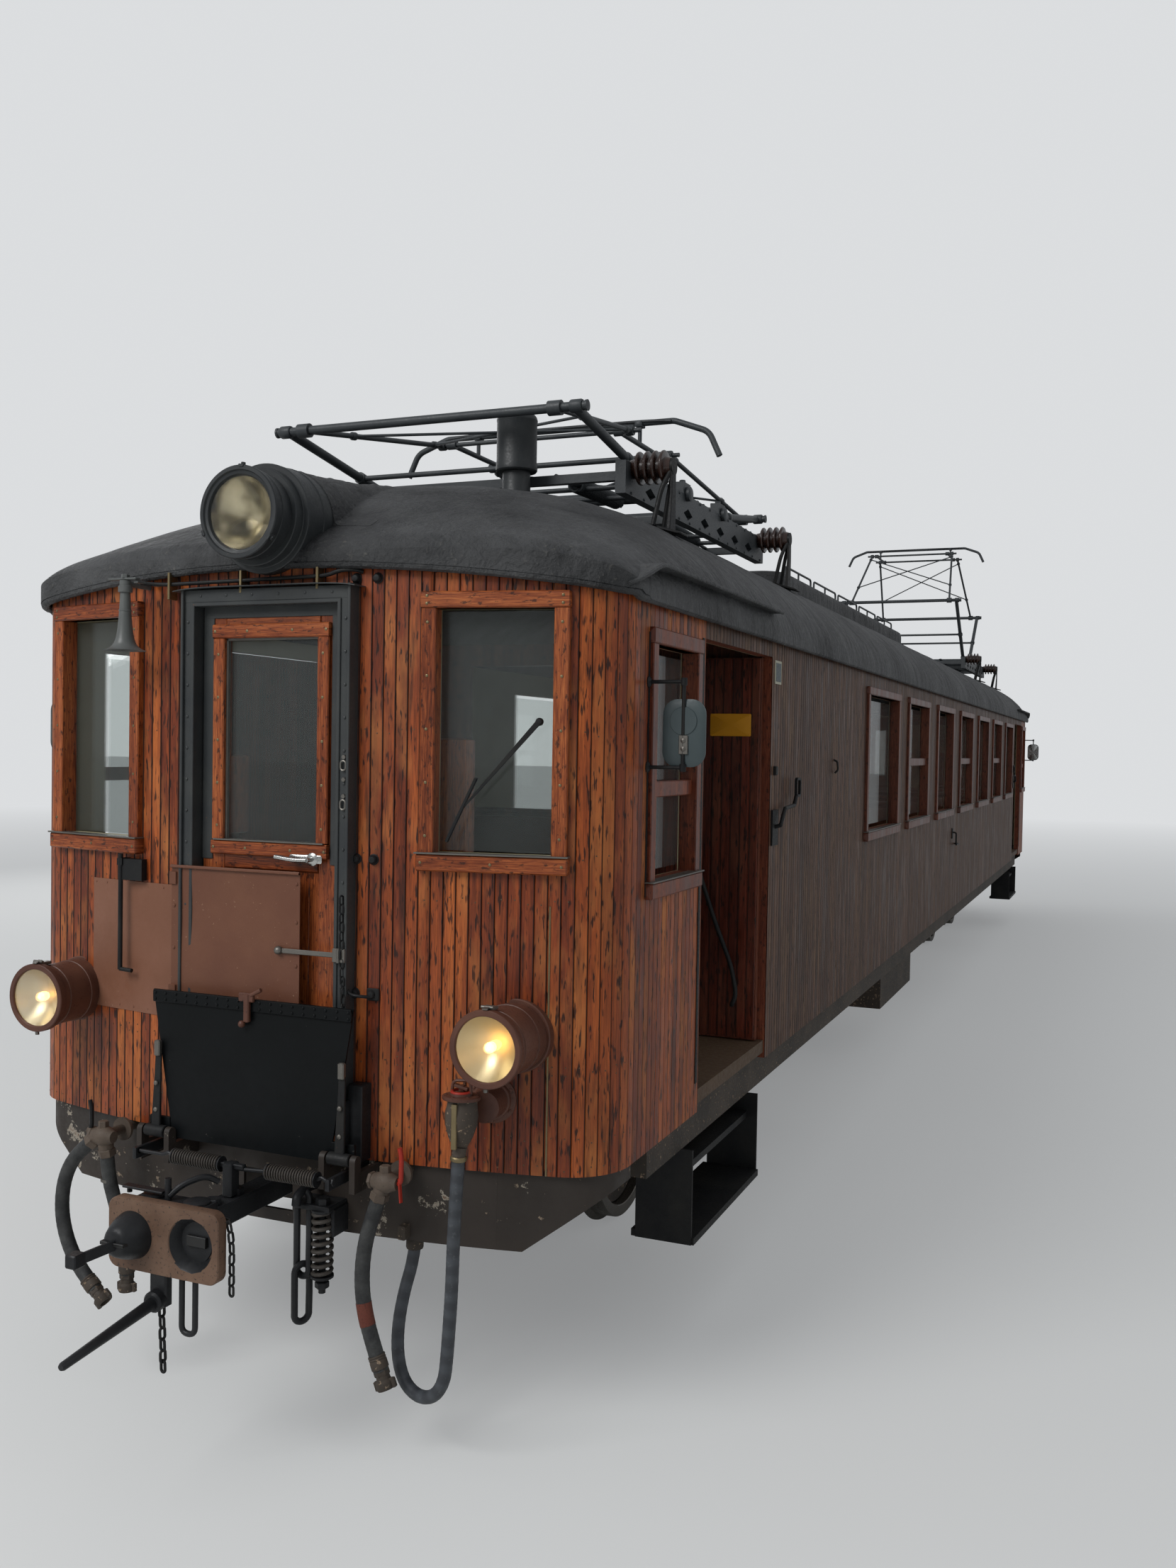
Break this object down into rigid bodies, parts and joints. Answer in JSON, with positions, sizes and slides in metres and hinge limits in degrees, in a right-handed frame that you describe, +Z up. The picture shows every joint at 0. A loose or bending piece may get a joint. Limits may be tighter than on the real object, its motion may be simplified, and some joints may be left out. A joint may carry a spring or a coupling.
{
  "type": "electric railcar",
  "caption": "Wooden-bodied narrow-gauge electric railcar with bowed ends, bogies, roof pantographs, hinged doors and fall plates.",
  "frame": {"origin": "centre of the overall box, on the plane of the lowest points of the wheel flanges", "axes": "+Z up, +Y along the car towards the rear end, +X to the right of somebody looking at the rear end from the front"},
  "size_m": [3.062, 20.009, 5.3432],
  "materials": {
    "teak": "varnished",
    "frame_wood": "varnished",
    "roof_paint": "matt",
    "black_iron": "satin",
    "wheel_steel": "worn",
    "pane": "clear",
    "lamp_metal": "satin",
    "porcelain": "glazed",
    "black_rubber": "matt",
    "tape_grey": "matt",
    "arm_steel": "satin",
    "brown_paint": "satin",
    "silvered": "polished",
    "seat_cloth": "matt",
    "floor_wood": "matt",
    "horn_metal": "gloss"
  },
  "bodies": {
    "car": {"air_valves": "black_iron", "bulkheads": "teak", "cab_equipment": "lamp_metal", "couplers": "black_iron", "cover_plates": "brown_paint", "door_frames": "frame_wood", "drawgear_irons": "black_iron", "end_wall_front": "teak", "end_wall_rear": "teak", "floor": "floor_wood", "headlamps": "lamp_metal", "headstocks": "black_iron", "horns": "horn_metal", "hose_couplings": "black_iron", "hose_left_inner": "black_rubber", "hose_left_outer": "black_rubber", "hose_right": "black_rubber", "insulators": "porcelain", "jumper_cable": "tape_grey", "jumper_sockets": "black_iron", "mirrors": "silvered", "pantograph_bases": "arm_steel", "roof": "roof_paint", "roof_fittings": "roof_paint", "seats": "seat_cloth", "side_wall_left": "teak", "side_wall_right": "teak", "steps": "black_iron", "underfloor_boxes": "black_iron", "underframe": "black_iron", "wall_irons": "black_iron", "window_frames": "frame_wood", "window_glass": "pane"},
    "bogie_front": {"bogie_frame_front": "black_iron"},
    "bogie_rear": {"bogie_frame_rear": "black_iron"},
    "wheelset_1": {"wheelset_1": "wheel_steel"},
    "wheelset_2": {"wheelset_2": "wheel_steel"},
    "wheelset_3": {"wheelset_3": "wheel_steel"},
    "wheelset_4": {"wheelset_4": "wheel_steel"},
    "end_door_front": {"end_door_front": "teak", "end_door_glass_front": "pane"},
    "fall_plate_front": {"fall_plate_front": "black_iron"},
    "end_door_rear": {"end_door_rear": "teak", "end_door_glass_rear": "pane"},
    "fall_plate_rear": {"fall_plate_rear": "black_iron"},
    "side_door_front_right": {"side_door_front_right": "teak"},
    "side_door_rear_right": {"side_door_rear_right": "teak"},
    "side_door_front_left": {"side_door_front_left": "teak"},
    "side_door_rear_left": {"side_door_rear_left": "teak"},
    "panto_lower_front_a": {"panto_lower_front_a": "arm_steel"},
    "panto_lower_front_b": {"panto_lower_front_b": "arm_steel"},
    "panto_upper_front_a": {"panto_upper_front_a": "arm_steel"},
    "panto_upper_front_b": {"panto_upper_front_b": "arm_steel"},
    "panto_head_front": {"panto_head_front": "arm_steel"},
    "panto_lower_rear_a": {"panto_lower_rear_a": "arm_steel"},
    "panto_lower_rear_b": {"panto_lower_rear_b": "arm_steel"},
    "panto_upper_rear_a": {"panto_upper_rear_a": "arm_steel"},
    "panto_upper_rear_b": {"panto_upper_rear_b": "arm_steel"},
    "panto_head_rear": {"panto_head_rear": "arm_steel"}
  },
  "joints": [
    {"name": "bogie_swivel_front", "type": "hinge", "parent": "car", "child": "bogie_front", "pos_m": [0, -5.6, 0.8], "axis": [0, 0, 1], "range_deg": [-6, 6]},
    {"name": "bogie_swivel_rear", "type": "hinge", "parent": "car", "child": "bogie_rear", "pos_m": [0, 5.6, 0.8], "axis": [0, 0, 1], "range_deg": [-6, 6]},
    {"name": "wheelset_spin_1", "type": "hinge", "parent": "bogie_front", "child": "wheelset_1", "pos_m": [0, -6.6, 0.448], "axis": [1, 0, 0], "continuous": true},
    {"name": "wheelset_spin_2", "type": "hinge", "parent": "bogie_front", "child": "wheelset_2", "pos_m": [0, -4.6, 0.448], "axis": [1, 0, 0], "continuous": true},
    {"name": "wheelset_spin_3", "type": "hinge", "parent": "bogie_rear", "child": "wheelset_3", "pos_m": [0, 4.6, 0.448], "axis": [1, 0, 0], "continuous": true},
    {"name": "wheelset_spin_4", "type": "hinge", "parent": "bogie_rear", "child": "wheelset_4", "pos_m": [0, 6.6, 0.448], "axis": [1, 0, 0], "continuous": true},
    {"name": "end_door_hinge_front", "type": "hinge", "parent": "car", "child": "end_door_front", "pos_m": [-0.298, -8.945, 2], "axis": [0, 0, 1], "range_deg": [0, 85]},
    {"name": "fall_plate_hinge_front", "type": "hinge", "parent": "car", "child": "fall_plate_front", "pos_m": [0, -9.12, 1.01], "axis": [1, 0, 0], "range_deg": [0, 92]},
    {"name": "end_door_hinge_rear", "type": "hinge", "parent": "car", "child": "end_door_rear", "pos_m": [0.298, 8.945, 2], "axis": [0, 0, 1], "range_deg": [0, 85]},
    {"name": "fall_plate_hinge_rear", "type": "hinge", "parent": "car", "child": "fall_plate_rear", "pos_m": [0, 9.12, 1.01], "axis": [-1, 0, 0], "range_deg": [0, 92]},
    {"name": "side_door_hinge_front_right", "type": "hinge", "parent": "car", "child": "side_door_front_right", "pos_m": [1.265, -6.799, 2], "axis": [0, 0, 1], "range_deg": [0, 90]},
    {"name": "side_door_hinge_rear_right", "type": "hinge", "parent": "car", "child": "side_door_rear_right", "pos_m": [1.265, 6.799, 2], "axis": [0, 0, -1], "range_deg": [0, 90]},
    {"name": "side_door_hinge_front_left", "type": "hinge", "parent": "car", "child": "side_door_front_left", "pos_m": [-1.265, -6.799, 2], "axis": [0, 0, 1], "range_deg": [0, 90]},
    {"name": "side_door_hinge_rear_left", "type": "hinge", "parent": "car", "child": "side_door_rear_left", "pos_m": [-1.265, 6.799, 2], "axis": [0, 0, -1], "range_deg": [0, 90]},
    {"name": "panto_shaft_front_a", "type": "hinge", "parent": "car", "child": "panto_lower_front_a", "pos_m": [0, -6.75, 3.748], "axis": [-1, 0, 0], "range_deg": [0, 46.5]},
    {"name": "panto_shaft_front_b", "type": "hinge", "parent": "car", "child": "panto_lower_front_b", "pos_m": [0, -6.15, 3.748], "axis": [1, 0, 0], "range_deg": [0, 46.5]},
    {"name": "panto_knee_front_a", "type": "hinge", "parent": "panto_lower_front_a", "child": "panto_upper_front_a", "pos_m": [0, -7.88737, 3.91798], "axis": [1, 0, 0], "range_deg": [0, 93]},
    {"name": "panto_knee_front_b", "type": "hinge", "parent": "panto_lower_front_b", "child": "panto_upper_front_b", "pos_m": [0, -5.01263, 3.91798], "axis": [-1, 0, 0], "range_deg": [0, 93]},
    {"name": "panto_top_front", "type": "hinge", "parent": "panto_upper_front_a", "child": "panto_head_front", "pos_m": [0, -6.75, 4.08796], "axis": [-1, 0, 0], "range_deg": [0, 46.5]},
    {"name": "panto_shaft_rear_a", "type": "hinge", "parent": "car", "child": "panto_lower_rear_a", "pos_m": [0, 5.55, 3.748], "axis": [-1, 0, 0], "range_deg": [-31.2, 15.3]},
    {"name": "panto_shaft_rear_b", "type": "hinge", "parent": "car", "child": "panto_lower_rear_b", "pos_m": [0, 6.15, 3.748], "axis": [1, 0, 0], "range_deg": [-31.2, 15.3]},
    {"name": "panto_knee_rear_a", "type": "hinge", "parent": "panto_lower_rear_a", "child": "panto_upper_rear_a", "pos_m": [0, 4.66519, 4.48258], "axis": [1, 0, 0], "range_deg": [-62.4, 30.6]},
    {"name": "panto_knee_rear_b", "type": "hinge", "parent": "panto_lower_rear_b", "child": "panto_upper_rear_b", "pos_m": [0, 7.03481, 4.48258], "axis": [-1, 0, 0], "range_deg": [-62.4, 30.6]},
    {"name": "panto_top_rear", "type": "hinge", "parent": "panto_upper_rear_a", "child": "panto_head_rear", "pos_m": [0, 5.55, 5.21717], "axis": [-1, 0, 0], "range_deg": [-31.2, 15.3]}
  ],
  "couplings": [
    {"joint": "panto_shaft_front_b", "follows": "panto_shaft_front_a", "ratio": 1},
    {"joint": "panto_knee_front_a", "follows": "panto_shaft_front_a", "ratio": 2},
    {"joint": "panto_knee_front_b", "follows": "panto_shaft_front_a", "ratio": 2},
    {"joint": "panto_top_front", "follows": "panto_shaft_front_a", "ratio": 1},
    {"joint": "panto_shaft_rear_b", "follows": "panto_shaft_rear_a", "ratio": 1},
    {"joint": "panto_knee_rear_a", "follows": "panto_shaft_rear_a", "ratio": 2},
    {"joint": "panto_knee_rear_b", "follows": "panto_shaft_rear_a", "ratio": 2},
    {"joint": "panto_top_rear", "follows": "panto_shaft_rear_a", "ratio": 1}
  ]
}
